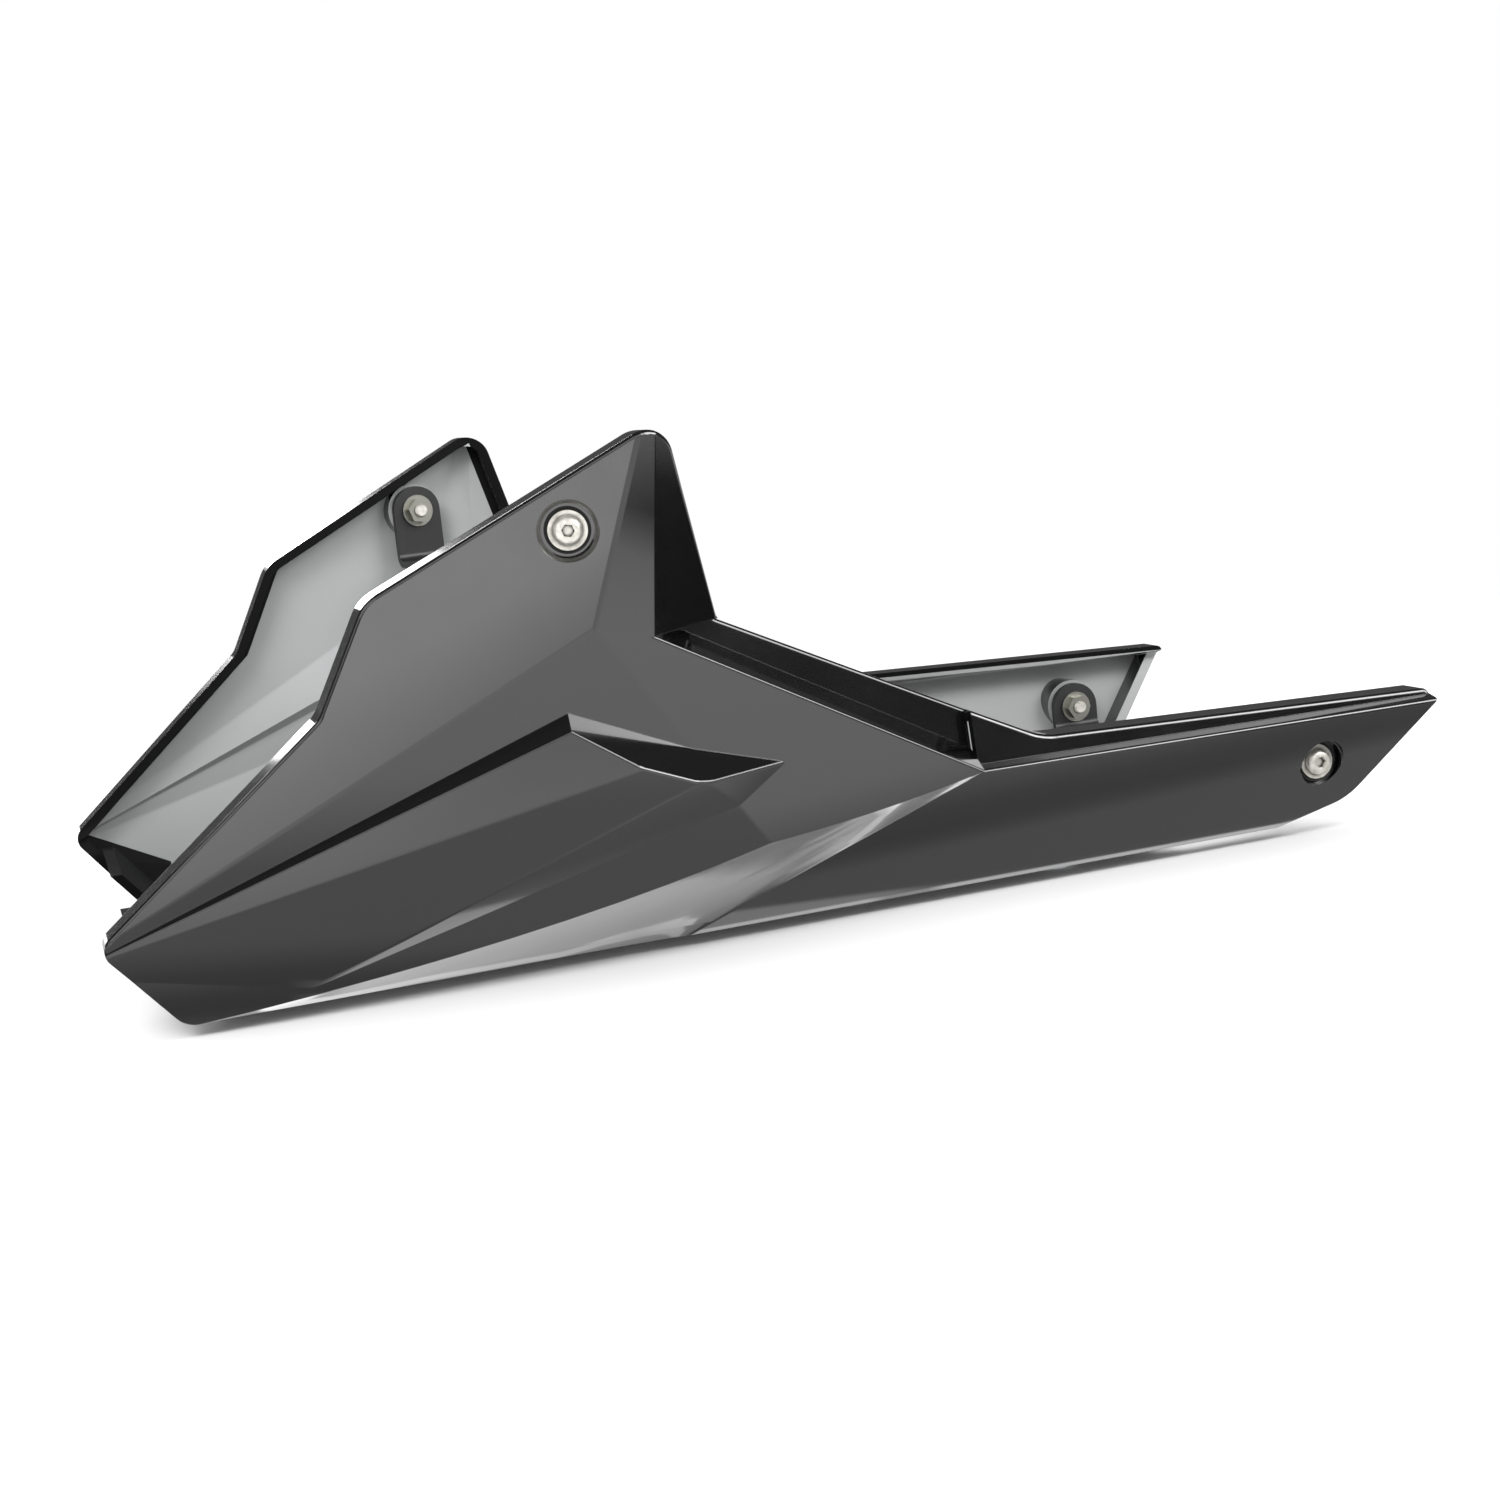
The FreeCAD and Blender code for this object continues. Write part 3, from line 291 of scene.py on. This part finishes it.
# Studio: a white floor, soft boxes and a dark sky that only gloss sees, none of them part of the object
def gloss_pools(tree, place):
    """Brightness of the floor for gloss, in units of white: one field or strip for each big facet."""
    flat = add(tree, "ShaderNodeSeparateXYZ", {}, {"Vector": place})
    along = flat.outputs["X"]
    across = add(tree, "ShaderNodeMath", {"operation": "ABSOLUTE"}, {0: flat.outputs["Y"]})
    base = levels(tree, across, [(0.0, 0.6), (0.138, 0.6), (0.142, 0.35), (0.152, 0.4), (0.165, 0.72),
                                 (0.22, 0.75), (0.27, 1.35), (0.5, 1.5), (0.8, 1.25), (1.0, 1.2)])
    # the right end stays dark, for the bevel behind the fin
    dark_end = levels(tree, along, [(0.20, 8.0), (0.26, 0.15), (0.6, 0.15), (0.9, 8.0)])
    near = levels(tree, across, [(0.18, 8.0), (0.22, 0.0), (0.7, 0.0), (0.9, 8.0)])
    kept = add(tree, "ShaderNodeMath", {"operation": "MAXIMUM"}, {0: dark_end, 1: near})
    base = add(tree, "ShaderNodeMath", {"operation": "MULTIPLY"}, {0: base, 1: kept})
    # a bright strip for the lower facet; its outer edge slants, so that the tail's facet stays dark
    slant = add(tree, "ShaderNodeMath", {"operation": "MULTIPLY_ADD", 1: STRIP_SLANT},
                {0: along, 2: across})
    strip = add(tree, "ShaderNodeMath", {"operation": "MULTIPLY"},
                {0: levels(tree, along, [(-0.20, 0.0), (-0.17, 8.0), (0.03, 8.0), (0.07, 0.0)]),
                 1: levels(tree, across, [(0.118, 0.0), (0.124, 8.0)])})
    strip = add(tree, "ShaderNodeMath", {"operation": "MULTIPLY"},
                {0: strip, 1: levels(tree, slant, [(0.1270, 8.0), (0.1285, 0.0)])})
    base = add(tree, "ShaderNodeMath", {"operation": "MULTIPLY_ADD", 1: STRIP_LEVEL / BRIGHTEST},
               {0: strip, 2: base})
    # a bright field ahead for the front facet
    field = add(tree, "ShaderNodeMath", {"operation": "MULTIPLY"},
                {0: levels(tree, along, [(-0.45, 8.0), (-0.22, 0.0)]),
                 1: levels(tree, across, [(0.30, 0.0), (0.45, 4.0), (0.8, 8.0)])})
    base = add(tree, "ShaderNodeMath", {"operation": "MULTIPLY_ADD", 1: FIELD_LEVEL / BRIGHTEST},
               {0: field, 2: base})
    # a bright line right under the shells' bottom edges, dimmer where the lower facet mirrors it as well
    foot = add(tree, "ShaderNodeMath", {"operation": "MULTIPLY", 1: FOOT_TOP},
               {0: levels(tree, along, FOOT_LINE, FOOT_TOP)})
    beyond = add(tree, "ShaderNodeMath", {"operation": "SUBTRACT"}, {0: across, 1: foot})
    line = add(tree, "ShaderNodeMath", {"operation": "MULTIPLY"},
               {0: levels(tree, beyond, [(-0.0006, 0.0), (0.0, 8.0), (0.0013, 8.0), (0.0020, 0.0)]),
                1: levels(tree, along, [(-0.07, 2.4), (-0.04, 4.0), (0.02, 4.0), (0.028, 2.4),
                                        (0.045, 2.4), (0.053, 4.0)])})
    base = add(tree, "ShaderNodeMath", {"operation": "MAXIMUM"}, {0: base, 1: line})
    return add(tree, "ShaderNodeMath", {"operation": "MULTIPLY", 1: BRIGHTEST}, {0: base})


def studio_floor():
    """White matt floor: it keeps the shadow, fades to white far off, and gloss sees pools of light on it."""
    material, tree = blank("white_studio_floor")
    place = add(tree, "ShaderNodeTexCoord").outputs["Object"]
    path = add(tree, "ShaderNodeLightPath")
    matt = add(tree, "ShaderNodeBsdfPrincipled",
               {"Base Color": linear("#f2f2f2"), "Roughness": 0.9, "Specular IOR Level": 0.1})
    white = add(tree, "ShaderNodeEmission", {"Strength": 1.0})
    reach = add(tree, "ShaderNodeVectorMath", {"operation": "LENGTH"}, {0: place})
    far = add(tree, "ShaderNodeMapRange",
              {"interpolation_type": "SMOOTHSTEP", "From Min": FADE_FROM, "From Max": FADE_TO},
              {"Value": reach})
    hide = add(tree, "ShaderNodeMath", {"operation": "MULTIPLY"}, {0: far, 1: path.outputs["Is Camera Ray"]})
    plain = add(tree, "ShaderNodeMixShader", {}, {0: hide, 1: matt, 2: white})
    seen = add(tree, "ShaderNodeEmission", {}, {"Strength": gloss_pools(tree, place)})
    choice = add(tree, "ShaderNodeMixShader", {}, {0: path.outputs["Is Glossy Ray"], 1: plain, 2: seen})
    add(tree, "ShaderNodeOutputMaterial", {}, {"Surface": choice})
    return material


def studio_world():
    """White light all round; gloss sees a dark room with a long bright bank and a small window instead."""
    world = bpy.data.worlds.new("studio")
    world.use_nodes = True
    tree = world.node_tree
    tree.nodes.clear()
    path = add(tree, "ShaderNodeLightPath")
    sky = add(tree, "ShaderNodeBackground", {"Color": [1, 1, 1, 1], "Strength": 1.0})
    toward = add(tree, "ShaderNodeTexCoord").outputs["Generated"]
    heading = add(tree, "ShaderNodeSeparateXYZ", {}, {"Vector": toward})
    # the bank is in front; its left half is dim, so that only the ledge's edges shine
    bank = add(tree, "ShaderNodeMath", {"operation": "MULTIPLY"},
               {0: levels(tree, heading.outputs["Y"], [(-0.26, 8.0), (-0.16, 0.0)]),
                1: levels(tree, heading.outputs["Z"], [(0.18, 0.0), (0.28, 8.0), (0.55, 8.0), (0.66, 0.0)])})
    bank = add(tree, "ShaderNodeMath", {"operation": "MULTIPLY"},
               {0: bank, 1: levels(tree, heading.outputs["X"], [(0.15, 1.5), (0.45, 6.0)])})
    # the window is behind, 10 degrees wide and low: the rim's bends mirror it, its straights don't
    pane = add(tree, "ShaderNodeMath", {"operation": "MULTIPLY"},
               {0: levels(tree, heading.outputs["X"],
                          [(-0.113, 0.0), (-0.103, 8.0), (0.035, 8.0), (0.060, 0.0)]),
                1: levels(tree, heading.outputs["Z"],
                          [(0.095, 0.0), (0.105, 8.0), (0.20, 8.0), (0.24, 0.0)])})
    pane = add(tree, "ShaderNodeMath", {"operation": "MULTIPLY"},
               {0: pane, 1: levels(tree, heading.outputs["Y"], [(0.5, 0.0), (0.6, 8.0)])})
    glow = add(tree, "ShaderNodeMath", {"operation": "MAXIMUM"}, {0: bank, 1: pane})
    strength = add(tree, "ShaderNodeMapRange", {"To Min": 0.08, "To Max": 9.0}, {"Value": glow})
    dark = add(tree, "ShaderNodeBackground", {"Color": [1, 1, 1, 1]}, {"Strength": strength})
    pick = add(tree, "ShaderNodeMixShader", {}, {0: path.outputs["Is Glossy Ray"], 1: sky, 2: dark})
    add(tree, "ShaderNodeOutputWorld", {}, {"Surface": pick})
    return world


def soft_box(name, place, target, width, height, watts):
    """Area lamp turned towards a point."""
    bpy.ops.object.light_add(type="AREA", location=place)
    lamp = bpy.context.object
    lamp.name = name
    lamp.data.shape = "RECTANGLE"
    lamp.data.size = width
    lamp.data.size_y = height
    lamp.data.energy = watts
    aim = Vector(target) - Vector(place)
    lamp.rotation_euler = aim.to_track_quat("-Z", "Y").to_euler()
    return lamp


bpy.ops.object.select_all(action="DESELECT")
bpy.ops.mesh.primitive_plane_add(size=FLOOR_WIDTH, location=(0, 0, 0))
ground = bpy.context.object
ground.name = "studio_floor"
ground.data.materials.append(studio_floor())

key_box = soft_box("key_box", (-1.6, -2.2, 2.2), (0, 0, 0.05), 1.6, 1.2, 70)
# its mirror image would draw a white line along the scoop
key_box.visible_glossy = False
soft_box("fill_box", (1.8, -1.8, 1.8), (0, 0, 0.05), 1.4, 1.2, 30)
soft_box("back_box", (-1.2, 2.2, 2.0), (0, 0, 0.1), 1.6, 1.0, 40)

bpy.context.scene.world = studio_world()

# Camera at the photograph's viewing angle: 16 degrees ahead of square, 8.5 degrees above, slight roll
camera_place = (-0.2704, -0.9875, 0.2029)
right = Vector((0.9511, -0.2898, -0.1062))
down = Vector((-0.1436, -0.1110, -0.9834))
look = Vector((0.2732, 0.9506, -0.1472))
bpy.ops.object.camera_add(location=(0, 0, 0))
camera = bpy.context.object
camera.name = "photo_camera"
camera.data.lens = 60
camera.data.sensor_width = 36
camera.data.sensor_fit = "AUTO"
camera.data.clip_start = 0.01
turn = Matrix((right, -down, -look)).transposed().to_4x4()
camera.matrix_world = Matrix.Translation(camera_place) @ turn
bpy.context.scene.camera = camera

bpy.context.scene.view_settings.view_transform = "Standard"
